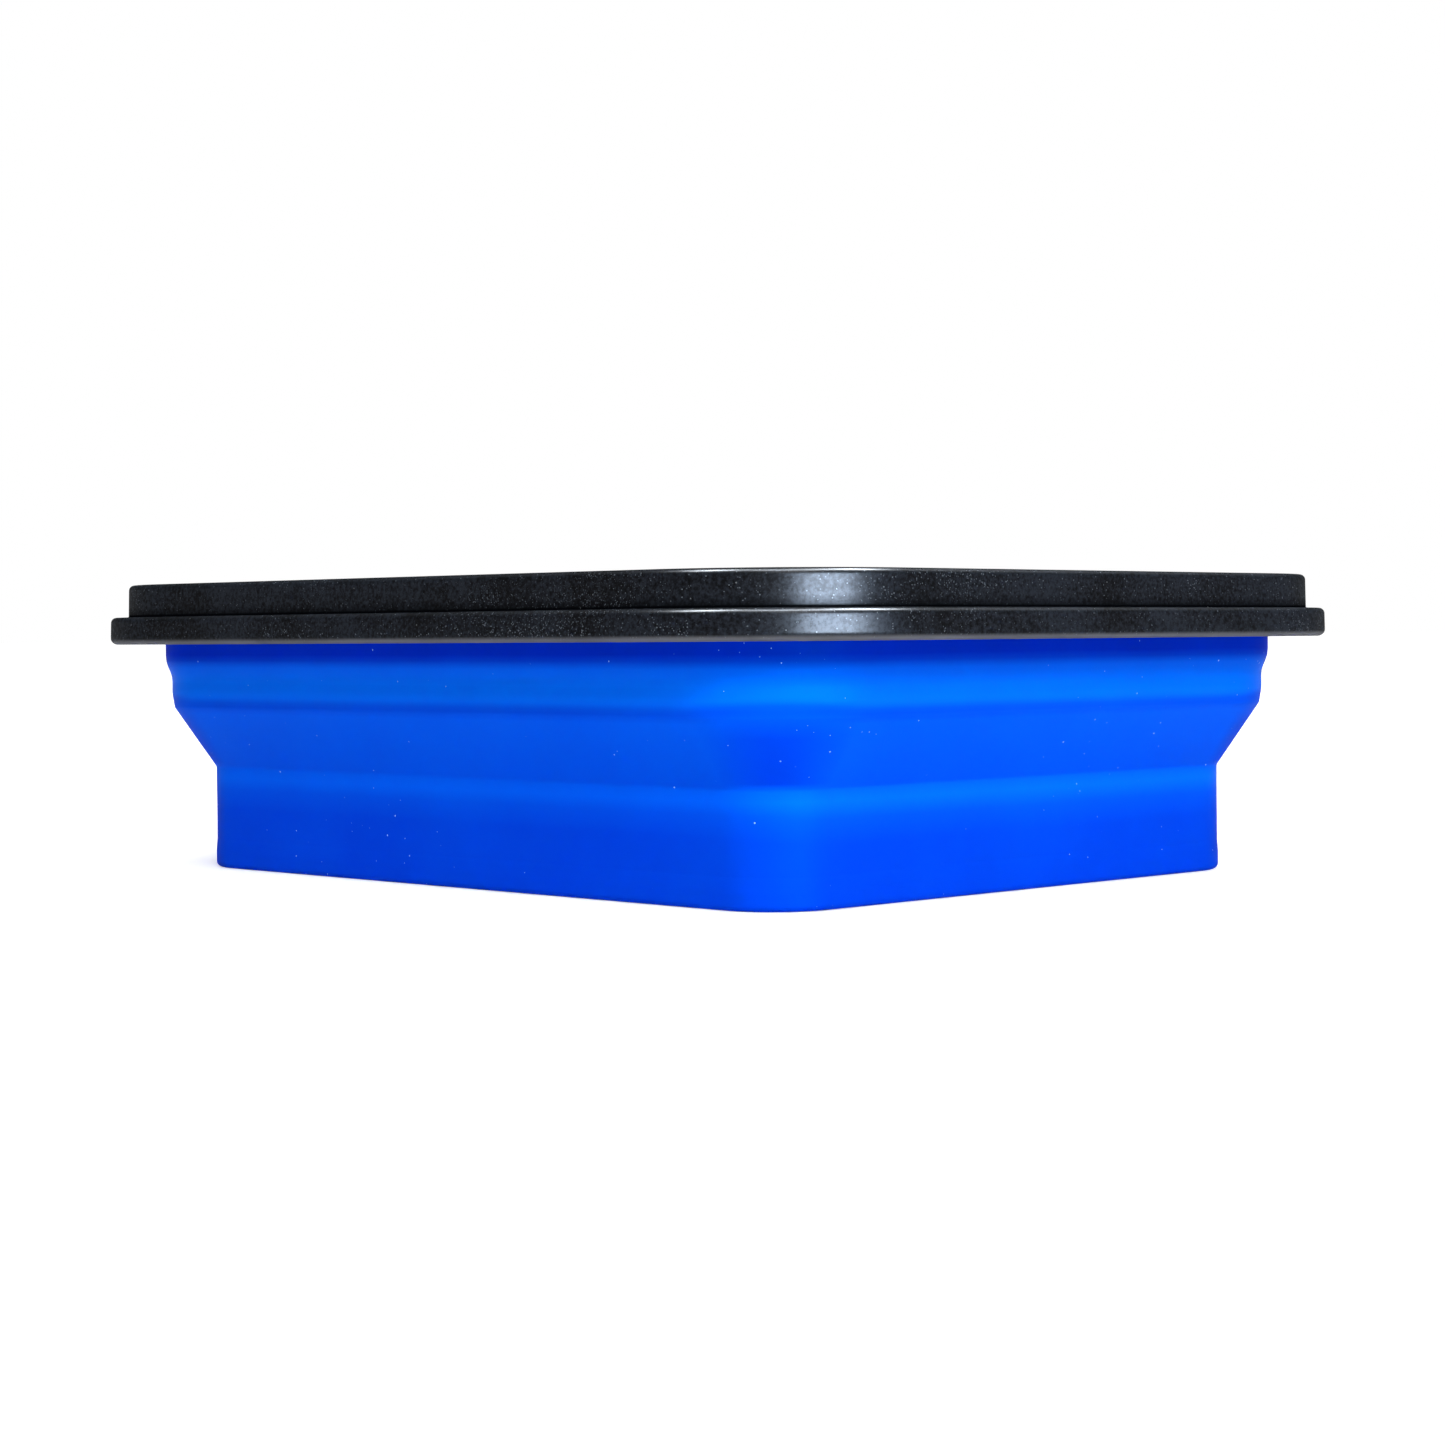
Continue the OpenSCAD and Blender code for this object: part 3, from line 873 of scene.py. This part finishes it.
class FOODBOX_OT_vent(FoodBoxOperator):
    """Vent flap and its anchor in one silicone moulding, thin where it hinges"""

    bl_idname = "foodbox.vent"
    bl_label = "Vent Flap"

    def execute(self, context):
        s = sizes()
        f = Shape(s)
        low_y, high_y = f.anchor[0][1], f.flap[1][1]
        half_w = f.flap[1][0]
        top = f.flap[1][2]
        bottom = f.well_z + s.flap_gap
        end_half_w = 0.35 * MM
        hinge_reach = 0.9 * MM
        cut_above = 0.55 * MM
        cut_below = 0.35 * MM
        ridged = 6.5 * MM
        ridge_h = 0.22 * MM
        ridge_pitch = 0.30 * MM
        bm = bmesh.new()
        stations = 72
        loops = []
        for k in range(stations + 1):
            t = k / stations
            y = low_y + (high_y - low_y) * (0.5 - 0.5 * math.cos(math.pi * t))
            end = min(y - low_y, high_y - y)
            if end < half_w:
                w = math.sqrt(max(0.0, half_w ** 2 - (half_w - end) ** 2))
            else:
                w = half_w
            w = max(w, end_half_w)
            near_hinge = math.exp(-((y - f.hinge_y) / hinge_reach) ** 2)
            ridge = 0.0
            if y > high_y - ridged:
                ridge = ridge_h * (0.5 + 0.5 * math.cos((y - high_y) / ridge_pitch))
            high = top - cut_above * near_hinge - ridge
            low = bottom + cut_below * near_hinge
            loops.append(self.section(bm, y, w, low, high))
        for a, b in zip(loops, loops[1:]):
            for i in range(len(a)):
                j = (i + 1) % len(a)
                bm.faces.new((a[i], a[j], b[j], b[i]))
        bm.faces.new(loops[0])
        bm.faces.new(loops[-1])
        axis = 0.05 * MM
        root = bottom + 0.4 * MM
        plug_r = s.vent_r - s.vent_gap
        plug_z = f.flap[0][2]
        self.stub(bm, f.vent_y, [
            (axis, root, 0), (plug_r, root, 0), (plug_r - 0.5 * MM, plug_z, 0.5 * MM),
            (axis, plug_z, 0)])
        stem_r = s.stem_r - 0.05 * MM
        head_z = f.anchor[0][2]
        self.stub(bm, f.anchor_y, [
            (axis, root, 0), (stem_r, root, 0), (stem_r, f.well_under, 0),
            (4.0 * MM, f.well_under, 0.3 * MM), (2.4 * MM, head_z, 0.4 * MM),
            (axis, head_z, 0)])
        material = once("Vent Silicone", silicone_material, finish().silicone,
                        finish().silicone_lit, dust=0.4, glows=False)
        piece = build("vent_moulding", bm, material)
        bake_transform(piece)
        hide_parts("vent_anchor", "vent_flap")
        return {"FINISHED"}

    def section(self, bm, y, w, low, high, steps=20):
        """A rounded strip's cross section at y."""
        middle, half_h = (low + high) / 2, (high - low) / 2
        loop = []
        for k in range(steps):
            t = 2 * math.pi * (k + 0.5) / steps
            c, d = math.cos(t), math.sin(t)
            x = w * math.copysign(abs(c) ** 0.32, c)
            z = middle + half_h * math.copysign(abs(d) ** 0.32, d)
            loop.append(bm.verts.new((x, y, z)))
        return loop

    def stub(self, bm, y, corners):
        """A turned pin on an upright axis at y."""
        ring = [(x, yy + y, nx, ny) for x, yy, nx, ny in rail(0.0, 0.0, 8)]
        loops = sweep(bm, ring, rounded_path(corners))
        bm.faces.new(loops[0])
        bm.faces.new(loops[-1])


# ------------------------------------------------------------------- stage


class FOODBOX_OT_stage(FoodBoxOperator):
    """Pale floor, soft lamps, plain sky and the camera"""

    bl_idname = "foodbox.stage"
    bl_label = "Stage"

    def execute(self, context):
        self.camera(context.scene)
        self.floor()
        self.sky(context.scene)
        self.lamp("Key Softbox", 14, 28, 1.1, 0.50, 0.30, 11.5)
        self.lamp("Overhead Softbox", 0, 88, 1.4, 1.4, 1.4, 15.5, shines=False)
        cool, pale = (0.65, 0.80, 1.0), (0.86, 0.93, 1.0)
        for name, side, height, width, depth, watts, tint in (
                ("Right Glint Card", 30, 2, 0.54, 0.16, 102.0, cool),
                ("Right Low Card", 47, 2, 0.36, 0.20, 12.0, cool),
                ("Left High Card", -58, 61, 0.26, 0.36, 155.0, pale),
                ("Middle High Card", 16, 61, 0.60, 0.36, 115.0, pale),
                ("Right High Card", 84, 61, 0.40, 0.36, 205.0, pale)):
            self.lamp(name, side, height, 1.0, width, depth, watts, lights=False, tint=tint)
        return {"FINISHED"}

    def camera(self, scene):
        """The camera, at its place and turned by its three angles."""
        st = stage()
        data = bpy.data.cameras.new("Camera")
        data.lens = st.lens
        data.sensor_width = 36.0
        data.clip_start = 0.01
        eye = bpy.data.objects.new("Camera", data)
        eye.location = st.camera_at
        look = (Matrix.Rotation(-st.camera_turn, 4, "Z")
                @ Matrix.Rotation(math.pi / 2 - st.camera_dip, 4, "X")
                @ Matrix.Rotation(-st.camera_roll, 4, "Z"))
        eye.rotation_euler = look.to_euler()
        bpy.context.collection.objects.link(eye)
        scene.camera = eye

    def floor(self):
        """A wide pale floor that looks evenly white but takes soft shadows."""
        bm = bmesh.new()
        bmesh.ops.create_grid(bm, x_segments=1, y_segments=1, size=30.0)
        bmesh.ops.translate(bm, verts=bm.verts, vec=(0, 0, -0.1 * MM))
        material = bpy.data.materials.new("Pale Floor")
        material.use_nodes = True
        g = Graph(material.node_tree)
        shader = g.nodes["Principled BSDF"]
        shader.inputs["Base Color"].default_value = (*stage().floor_white, 1)
        shader.inputs["Roughness"].default_value = 1.0
        shader.inputs["Specular IOR Level"].default_value = 0.0
        path = g.add("ShaderNodeLightPath")
        seen = g.seen(path)
        place = g.add("ShaderNodeTexCoord").outputs["Object"]
        reach = g.add("ShaderNodeVectorMath", operation="LENGTH")
        g.link(place, reach.inputs[0])
        level = g.blend(g.step(reach.outputs["Value"], 0.12, 0.4), 0.5, 1.0)
        glow = g.add("ShaderNodeEmission")
        g.link(g.math("MULTIPLY", seen, level), glow.inputs["Strength"])
        both = g.add("ShaderNodeAddShader")
        g.link(shader.outputs[0], both.inputs[0])
        g.link(glow.outputs[0], both.inputs[1])
        g.link(both.outputs[0], g.nodes["Material Output"].inputs["Surface"])
        floor = build("floor", bm, material, smooth=False)

    def sky(self, scene):
        """Plain light from all round: white where it is seen, and dimmer high up in reflections."""
        world = bpy.data.worlds.new("Plain Sky")
        world.use_nodes = True
        scene.world = world
        g = Graph(world.node_tree)
        plain = g.nodes["Background"]
        plain.inputs["Color"].default_value = (1, 1, 1, 1)
        plain.inputs["Strength"].default_value = stage().sky
        white = g.add("ShaderNodeBackground")
        white.inputs["Color"].default_value = (1, 1, 1, 1)
        path = g.add("ShaderNodeLightPath")
        seen = g.seen(path)
        way = g.add("ShaderNodeSeparateXYZ")
        g.link(g.add("ShaderNodeTexCoord").outputs["Generated"], way.inputs[0])
        high = g.step(way.outputs["Z"], 0.02, 0.30)
        camera = path.outputs["Is Camera Ray"]
        g.link(g.blend(g.math("MULTIPLY", high, g.math("SUBTRACT", 1.0, camera)), 1.0, 0.25),
               white.inputs["Strength"])
        choose = g.add("ShaderNodeMixShader")
        g.link(seen, choose.inputs[0])
        g.link(plain.outputs[0], choose.inputs[1])
        g.link(white.outputs[0], choose.inputs[2])
        g.link(choose.outputs[0], g.nodes["World Output"].inputs["Surface"])

    def lamp(self, name, side, height, distance, width, depth, watts, lights=True, shines=True,
             tint=(1, 1, 1)):
        """A soft lamp; side and height are degrees right of the camera and above the table."""
        aim = Vector((0, 0, 35 * MM))
        turn = Matrix.Rotation(math.radians(side) - stage().camera_turn, 4, "Z")
        lift = Matrix.Rotation(-math.radians(height), 4, "X")
        place = turn @ lift @ Vector((0, -distance, 0))
        data = bpy.data.lights.new(name, "AREA")
        data.shape = "RECTANGLE"
        data.size = width
        data.size_y = depth
        data.energy = watts
        data.color = tint
        light = bpy.data.objects.new(name, data)
        light.visible_diffuse = lights
        light.visible_glossy = shines
        light.location = place + aim
        light.rotation_euler = (-place).to_track_quat("-Z", "Y").to_euler()
        bpy.context.collection.objects.link(light)


# ------------------------------------------------------------------- panel


OPERATORS = [FOODBOX_OT_body, FOODBOX_OT_frame, FOODBOX_OT_lid, FOODBOX_OT_seal,
             FOODBOX_OT_vent, FOODBOX_OT_stage]


class FOODBOX_PT_panel(bpy.types.Panel):
    """Sizes, finish, stage and the operators that build each piece"""

    bl_idname = "FOODBOX_PT_panel"
    bl_label = "Food Box"
    bl_space_type = "VIEW_3D"
    bl_region_type = "UI"
    bl_category = "Food Box"

    def draw(self, context):
        layout = self.layout
        for group in (sizes(), finish(), stage()):
            box = layout.box()
            for name in group.__annotations__:
                box.prop(group, name)
        for operator in OPERATORS:
            layout.operator(operator.bl_idname)


CLASSES = [FoodBoxSizes, FoodBoxFinish, FoodBoxStage, *OPERATORS, FOODBOX_PT_panel]


def register():
    for cls in CLASSES:
        bpy.utils.register_class(cls)
    bpy.types.Scene.food_box_sizes = bpy.props.PointerProperty(type=FoodBoxSizes)
    bpy.types.Scene.food_box_finish = bpy.props.PointerProperty(type=FoodBoxFinish)
    bpy.types.Scene.food_box_stage = bpy.props.PointerProperty(type=FoodBoxStage)


def unregister():
    del bpy.types.Scene.food_box_stage
    del bpy.types.Scene.food_box_finish
    del bpy.types.Scene.food_box_sizes
    for cls in reversed(CLASSES):
        bpy.utils.unregister_class(cls)


def main():
    register()
    scene = bpy.context.scene
    scene.view_settings.view_transform = "Standard"
    bpy.ops.foodbox.body()
    bpy.ops.foodbox.frame()
    bpy.ops.foodbox.lid()
    bpy.ops.foodbox.seal()
    bpy.ops.foodbox.vent()
    bpy.ops.foodbox.stage()


if __name__ == "__main__":
    main()
